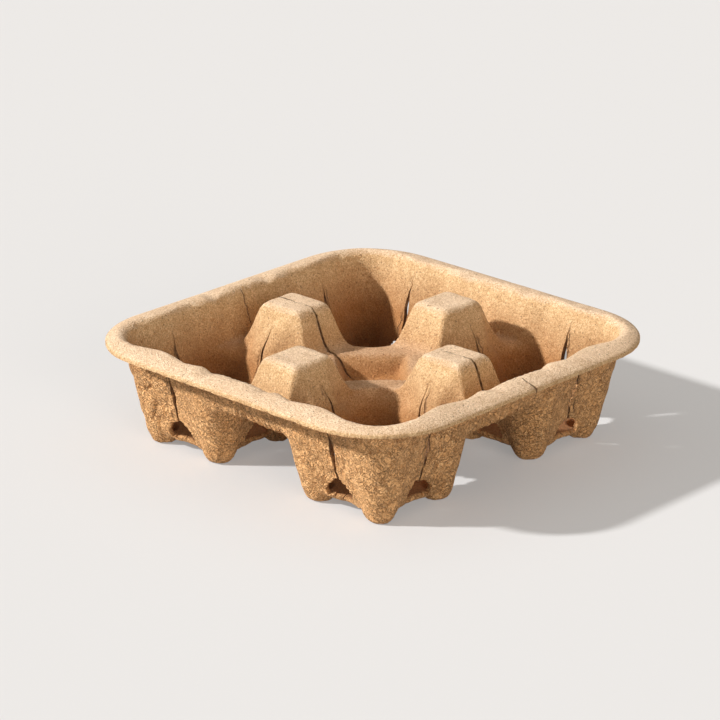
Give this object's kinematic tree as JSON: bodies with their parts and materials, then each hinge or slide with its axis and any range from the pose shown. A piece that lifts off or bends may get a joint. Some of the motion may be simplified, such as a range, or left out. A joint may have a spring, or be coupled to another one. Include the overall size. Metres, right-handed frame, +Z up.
{
  "type": "cup carrier",
  "caption": "Square moulded pulp tray that carries drinks cups: deep legged pockets, raised peaks between them, a middle dish and a rolled rim.",
  "frame": {"origin": "middle of the tray, on the surface that its feet stand on", "axes": "+Z up; +X and +Y along the tray's sides, which are alike"},
  "size_m": [0.195, 0.195, 0.054],
  "materials": {
    "moulded_pulp": "matte brown recycled paper pulp, smooth inside and rough outside"
  },
  "bodies": {
    "root": {"cup_carrier": "moulded_pulp"}
  },
  "joints": []
}
